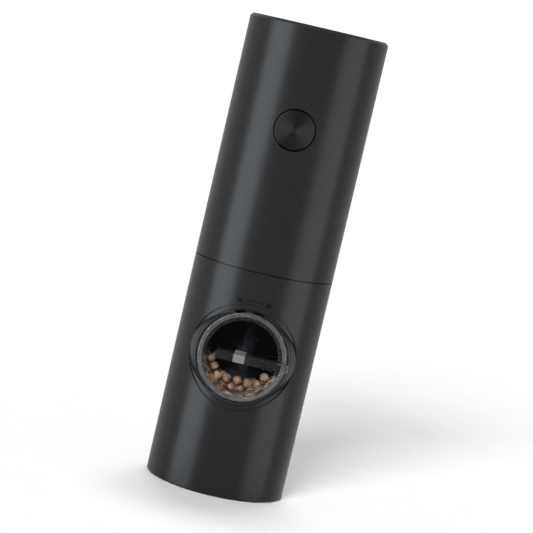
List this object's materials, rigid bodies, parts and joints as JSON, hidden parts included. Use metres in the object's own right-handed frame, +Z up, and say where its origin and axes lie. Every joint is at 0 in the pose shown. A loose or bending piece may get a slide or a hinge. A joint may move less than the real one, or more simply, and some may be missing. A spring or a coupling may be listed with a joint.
{
  "type": "electric pepper mill",
  "caption": "Upright black cylinder mill with a round push button and a clear round filling hatch that shows the peppercorns; battery motor, planetary gear and conical burrs.",
  "frame": {"origin": "centre of the foot, on the surface the mill stands on", "axes": "+Z up along the mill's axis; the button and the filling hatch face -Y; +X is to the right as the hatch is faced"},
  "size_m": [0.063, 0.0648, 0.211],
  "materials": {
    "body_black": "satin, fine grain",
    "inner_black": "gloss, smoked",
    "clear": "clear moulded acrylic",
    "frosted": "frosted, light grey",
    "spun_metal": "turned face, radial sheen",
    "rubber_black": "soft, matte",
    "steel": "plain steel",
    "chrome_part": "plated",
    "ceramic": "sintered, matt white",
    "gear_white": "natural acetal",
    "brass_part": "plain",
    "magnet": "sintered ferrite",
    "board_green": "laminate",
    "cell_wrap": "shrink-wrapped",
    "frame_grey": "plain moulded"
  },
  "bodies": {
    "housing": {"lower_shell": "body_black", "upper_shell": "body_black", "top_cap": "body_black", "hatch_collar": "body_black", "base_plate": "body_black", "button_guide": "inner_black", "hopper_deck": "inner_black", "grinder_seat": "inner_black", "button_spring": "steel", "board_screw_1": "steel", "board_screw_2": "steel", "motor_screw_1": "steel", "motor_screw_2": "steel", "gear_screw_1": "steel", "gear_screw_2": "steel", "gear_screw_3": "steel", "base_screw_1": "steel", "base_screw_2": "steel", "base_screw_3": "steel", "charge_port": "chrome_part", "motor_can": "chrome_part", "stator_burr": "ceramic", "gear_housing": "gear_white", "gear_lid": "gear_white", "motor_cap": "gear_white", "contact_lower": "brass_part", "contact_upper": "brass_part", "output_bush": "brass_part", "motor_magnet_1": "magnet", "motor_magnet_2": "magnet", "control_board": "board_green", "charge_board": "board_green", "battery_cell": "cell_wrap", "chassis": "frame_grey", "switch_body": "frame_grey"},
    "spindle": {"planet_carrier": "gear_white", "drive_shaft": "inner_black", "shaft_collar": "inner_black", "burr_spring": "steel"},
    "motor_rotor": {"motor_armature": "steel", "sun_gear": "brass_part"},
    "planet_1": {"planet_gear_1": "gear_white"},
    "planet_2": {"planet_gear_2": "gear_white"},
    "planet_3": {"planet_gear_3": "gear_white"},
    "knob": {"coarseness_knob": "inner_black"},
    "burr": {"rotor_burr": "ceramic"},
    "button": {"button_cap": "spun_metal", "button_carrier": "inner_black", "switch_plunger": "gear_white"},
    "hatch_seal": {"hatch_gasket": "rubber_black"},
    "hatch": {"hatch_cover": "clear", "grip_core": "frosted"},
    "port_flap": {"port_cover": "rubber_black"}
  },
  "joints": [
    {"name": "motor_spin", "type": "hinge", "parent": "housing", "child": "motor_rotor", "pos_m": [0, 0, 0.12], "axis": [0, 0, 1], "continuous": true},
    {"name": "spindle_spin", "type": "hinge", "parent": "housing", "child": "spindle", "pos_m": [0, 0, 0.06], "axis": [0, 0, 1], "continuous": true},
    {"name": "planet_spin_1", "type": "hinge", "parent": "spindle", "child": "planet_1", "pos_m": [0.012, 0, 0.1006], "axis": [0, 0, 1], "continuous": true},
    {"name": "planet_spin_2", "type": "hinge", "parent": "spindle", "child": "planet_2", "pos_m": [-0.006, 0.01039, 0.1006], "axis": [0, 0, 1], "continuous": true},
    {"name": "planet_spin_3", "type": "hinge", "parent": "spindle", "child": "planet_3", "pos_m": [-0.006, -0.01039, 0.1006], "axis": [0, 0, 1], "continuous": true},
    {"name": "knob_turn", "type": "hinge", "parent": "spindle", "child": "knob", "pos_m": [0, 0, 0.0047], "axis": [0, 0, 1], "range_deg": [0, 360]},
    {"name": "burr_shift", "type": "slide", "parent": "spindle", "child": "burr", "axis": [0, 0, 1], "range_m": [0, 0.0007], "deforming": ["burr_spring"]},
    {"name": "button_press", "type": "slide", "parent": "housing", "child": "button", "axis": [0, 1, 0], "range_m": [0, 0.0008], "stiffness_N_per_m": 900, "springref_m": -0.002, "deforming": ["button_spring"]},
    {"name": "hatch_pull", "type": "slide", "parent": "housing", "child": "hatch_seal", "axis": [0, -1, 0], "range_m": [0, 0.03]},
    {"name": "hatch_turn", "type": "hinge", "parent": "hatch_seal", "child": "hatch", "pos_m": [0, -0.0305, 0.0632], "axis": [0, 1, 0], "range_deg": [-13, 13]},
    {"name": "flap_open", "type": "hinge", "parent": "housing", "child": "port_flap", "pos_m": [0, 0.0309, 0.1472], "axis": [-1, 0, 0], "range_deg": [0, 100]}
  ],
  "couplings": [
    {"joint": "spindle_spin", "follows": "motor_spin", "ratio": 0.2},
    {"joint": "planet_spin_1", "follows": "motor_spin", "ratio": -0.53333},
    {"joint": "planet_spin_2", "follows": "motor_spin", "ratio": -0.53333},
    {"joint": "planet_spin_3", "follows": "motor_spin", "ratio": -0.53333},
    {"joint": "knob_turn", "follows": "burr_shift", "rad_per_m": 8975.9}
  ]
}
